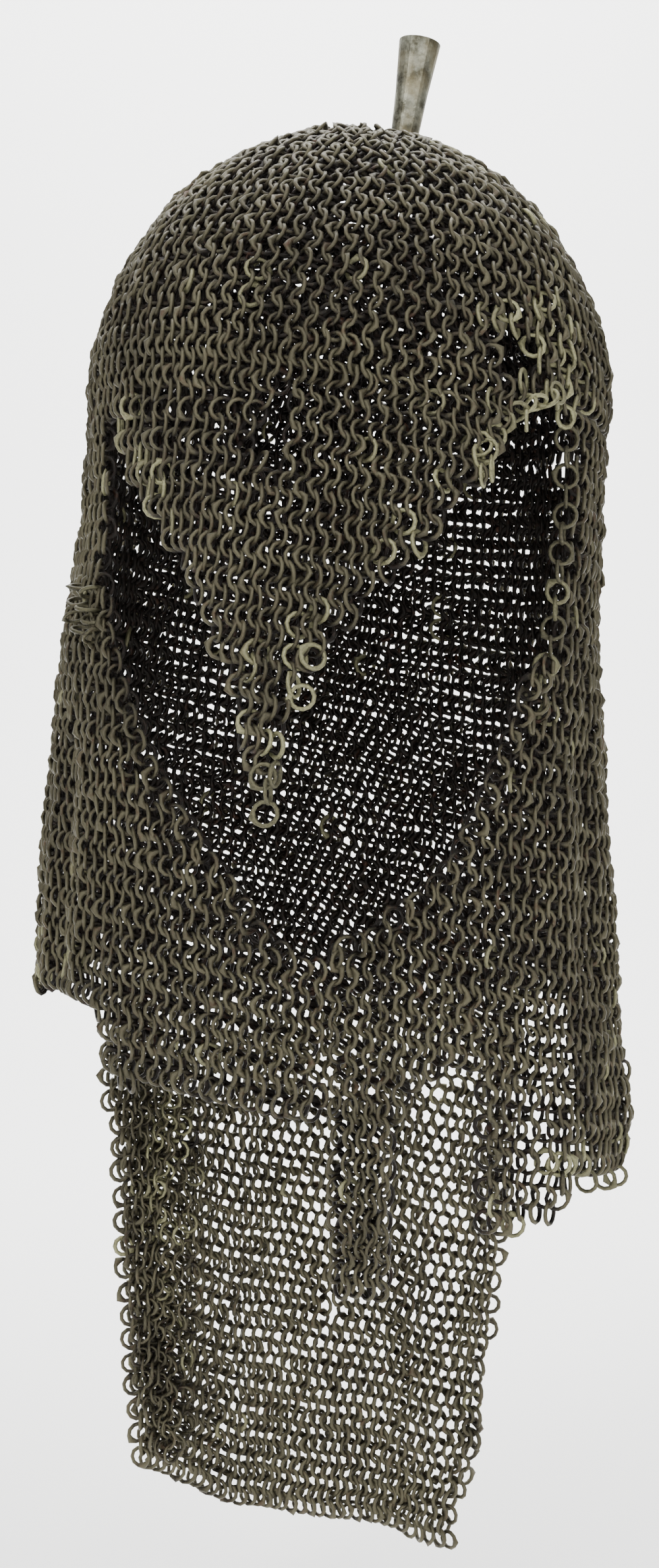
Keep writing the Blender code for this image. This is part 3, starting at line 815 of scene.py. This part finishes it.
singleRings("flapTipRing", [(-24.0, -116.5, -213.7, -12, 4, 8.1, 0.30)], ["flap_tip_ring"])
singleRings("flapTipLinks", [
    (-23.0, -116.2, -207.9, 78, 3, 7.9, 0.25),
    (-24.6, -116.0, -203.4, -8, 6, 7.9, 0.20),
    (-21.4, -115.8, -203.0, 68, -6, 7.9, 0.20),
], [])
singleRings("flapEdgeRing", [(-14.2, -114.0, -182.0, 14, -6, 8.1, 0.75)], ["flap_edge_ring"])
singleRings("flapEdgeLink", [(-16.2, -113.0, -178.6, 62, 5, 7.9, 0.7)], [])
singleRings("browStrand", [
    (59.9, -69.5, -91.5, 50, 10, 7.6, 0.5),
    (56.6, -73.0, -93.6, -20, 35, 7.6, 0.7),
    (53.4, -76.0, -95.6, 30, -60, 7.6, 0.9),
    (49.9, -79.0, -96.2, -30, 30, 7.6, 0.8),
    (50.0, -79.5, -101.2, 84, 0, 7.6, 0.9),
    (46.6, -81.5, -99.0, 20, -40, 7.6, 0.5),
    (43.2, -84.0, -102.5, -35, 10, 7.6, 0.4),
    (40.6, -87.0, -106.4, 30, 12, 7.6, 0.7),
    (38.9, -90.0, -116.9, 80, 0, 7.6, 0.8),
    (36.3, -91.5, -119.0, 76, 4, 7.6, 0.9),
    (37.6, -89.5, -111.4, -24, 8, 7.8, 0.6),
], [])
chainRows = []
for index in range(edgeChain["count"]):
    openTurn, linkTurn = 8 + 7 * math.sin(index * 2.3), 76 + 8 * math.sin(index * 1.7)
    for kind, shift, turn in (("open", 0.0, openTurn), ("link", 0.5, linkTurn)):
        height = edgeChain["start"] + (index + shift) * edgeChain["step"]
        spot = depthOf(height * mm)
        spotAngle = tableAt(rightFace, spot, "angle") + edgeChain["inset"]
        place = hangingSkin(np.array([spotAngle]), np.array([height * mm]))[0] / mm
        lift = 2.0 * np.array([math.sin(math.radians(spotAngle)), -math.cos(math.radians(spotAngle))])
        chainRows.append((place[0] - lift[0], place[1] - lift[1], height, turn, 4 * math.sin(index * 3.1),
                          edgeChain[kind], 0.12 + 0.3 * (index in (4, 6))))
singleRings("faceEdgeChain", chainRows, [])
singleRings("flapRimRing", [(-10.9, -114.3, -171.4, 20, 5, 7.8, 0.6)], [])
singleRings("sidePucker", [
    (-82.6, -40.0, -145.2, 10, 74, 8.2, 0.1),
    (-78.4, -45.0, -147.4, 25, -68, 8.2, 0.2),
    (-83.0, -40.5, -149.6, -6, 66, 8.2, 0.1),
    (-79.6, -46.0, -152.4, 18, 76, 8.2, 0.2),
    (-84.0, -41.0, -154.4, 35, -64, 8.2, 0.1),
    (-77.6, -47.5, -155.6, -12, 62, 8.2, 0.15),
    (-81.2, -45.5, -158.8, 20, 70, 8.2, 0.1),
    (-77.0, -48.0, -161.0, 40, -55, 8.2, 0.1),
], [])
singleRings("lappetHemRings", [
    (80.0, -23.2, -329.8, -22, 6, 7.8, 0.3),
    (84.4, -15.9, -329.8, -15, -8, 7.8, 0.3),
    (72.8, -34.3, -328.0, -28, 10, 7.8, 0.2),
], [])

# the tube keeps its solid shape
tubeLook = {"dark": (0.085, 0.080, 0.055, 1), "light": (0.37, 0.37, 0.29, 1), "warm": (0.24, 0.20, 0.11, 1)}


def tubeMaterial(name, look):
    material = bpy.data.materials.new(name)
    material.use_nodes = True
    tree = material.node_tree
    shader = tree.nodes["Principled BSDF"]
    place = node(tree, "ShaderNodeTexCoord", (-1200, 0)).outputs["Object"]
    blotch = noise(tree, place, 190, 6, (-1000, 0), 0.65)
    fine = noise(tree, place, 1400, 4, (-1000, -200))
    warm = noise(tree, place, 90, 3, (-1000, -400))
    lighter = spread(tree, blotch, 0.38, 0.62, (-800, 0))
    colour = mixColours(tree, lighter, look["dark"], look["light"], (-600, 0))
    warmer = spread(tree, warm, 0.45, 0.62, (-800, -400), 0, 0.6)
    colour = mixColours(tree, warmer, colour, look["warm"], (-400, 0))
    tree.links.new(colour, shader.inputs["Base Color"])
    tree.links.new(spread(tree, fine, 0.3, 0.7, (-600, -200), 0.34, 0.60), shader.inputs["Roughness"])
    shader.inputs["Metallic"].default_value = 0.85
    bump = node(tree, "ShaderNodeBump", (-300, -300))
    bump.inputs["Strength"].default_value = 0.25
    bump.inputs["Distance"].default_value = 0.0003
    tree.links.new(fine, bump.inputs["Height"])
    tree.links.new(bump.outputs[0], shader.inputs["Normal"])
    return material


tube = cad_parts["plume_tube"]
tube.data.materials.clear()
tube.data.materials.append(tubeMaterial("tubeMetal", tubeLook))
print("tube dressed")

# floor, light and camera
stage = {"floorLevel": -0.530, "near": -6.0, "far": 2.6, "side": 7.0, "wall": 4.0, "bend": 1.2,
         "paper": (0.93, 0.93, 0.92, 1), "roomLight": 0.30}
bpy.ops.object.select_all(action="DESELECT")
bpy.ops.mesh.primitive_plane_add(size=2, location=(0, 0, 0))
floor = bpy.context.active_object
floor.name = "floor"
bpy.ops.object.mode_set(mode="EDIT")
bpy.ops.mesh.select_all(action="SELECT")
bpy.ops.transform.resize(value=(stage["side"], (stage["far"] - stage["near"]) / 2, 1))
bpy.ops.transform.translate(value=(0, (stage["far"] + stage["near"]) / 2, stage["floorLevel"]))
bpy.ops.mesh.select_mode(type="EDGE")
bpy.ops.mesh.select_all(action="DESELECT")
bpy.ops.object.mode_set(mode="OBJECT")
for edge in floor.data.edges:
    ends = [floor.data.vertices[index].co for index in edge.vertices]
    edge.select = all(end.y > stage["far"] - 0.01 for end in ends)
bpy.ops.object.mode_set(mode="EDIT")
bpy.ops.mesh.extrude_region_move(TRANSFORM_OT_translate={"value": (0, 0, stage["wall"])})
bpy.ops.object.mode_set(mode="OBJECT")
for edge in floor.data.edges:
    ends = [floor.data.vertices[index].co for index in edge.vertices]
    edge.select = all(end.y > stage["far"] - 0.01 and end.z < stage["floorLevel"] + 0.01 for end in ends)
bpy.ops.object.mode_set(mode="EDIT")
bpy.ops.mesh.bevel(offset=stage["bend"], segments=16)
bpy.ops.object.mode_set(mode="OBJECT")
for face in floor.data.polygons:
    face.use_smooth = True
paper = bpy.data.materials.new("palePaper")
paper.use_nodes = True
paper.node_tree.nodes["Principled BSDF"].inputs["Base Color"].default_value = stage["paper"]
paper.node_tree.nodes["Principled BSDF"].inputs["Roughness"].default_value = 0.9
floor.data.materials.append(paper)

world = bpy.data.worlds.new("studio")
bpy.context.scene.world = world
world.use_nodes = True
world.node_tree.nodes["Background"].inputs[0].default_value = (1, 1, 1, 1)
world.node_tree.nodes["Background"].inputs[1].default_value = stage["roomLight"]


def softLight(name, place, aim, size, power):
    lamp = bpy.data.lights.new(name, "AREA")
    lamp.size = size
    lamp.energy = power
    made = bpy.data.objects.new(name, lamp)
    made.location = place
    made.rotation_euler = (Vector(aim) - Vector(place)).to_track_quat("-Z", "Y").to_euler()
    bpy.context.scene.collection.objects.link(made)


softLight("keyLight", (-0.7, -1.1, 0.9), (0, 0, -0.18), 0.35, 17)
softLight("fillLight", (0.95, -1.2, 0.45), (0, 0, -0.25), 0.45, 7.5)
softLight("faceLight", (0.1, -1.6, -0.2), (0, 0, -0.25), 0.8, 9)
softLight("topLight", (0.1, -0.2, 1.3), (0, 0, -0.1), 0.5, 7)
softLight("wallLight", (0, 0.9, 1.6), (0, 2.7, 0.1), 2.0, 215)

view = {"place": (-0.0065, -0.661, -0.2055), "focal": 3080.0, "tall": 2380.0}
lens = bpy.data.cameras.new("photoLens")
lens.sensor_width = 36
lens.lens = view["focal"] * 36 / view["tall"]
lens.clip_start = 0.01
lens.clip_end = 50
camera = bpy.data.objects.new("photoCamera", lens)
camera.location = view["place"]
camera.rotation_euler = (math.pi / 2, 0, 0)
bpy.context.scene.collection.objects.link(camera)
bpy.context.scene.camera = camera
print("stage, lights and camera set")
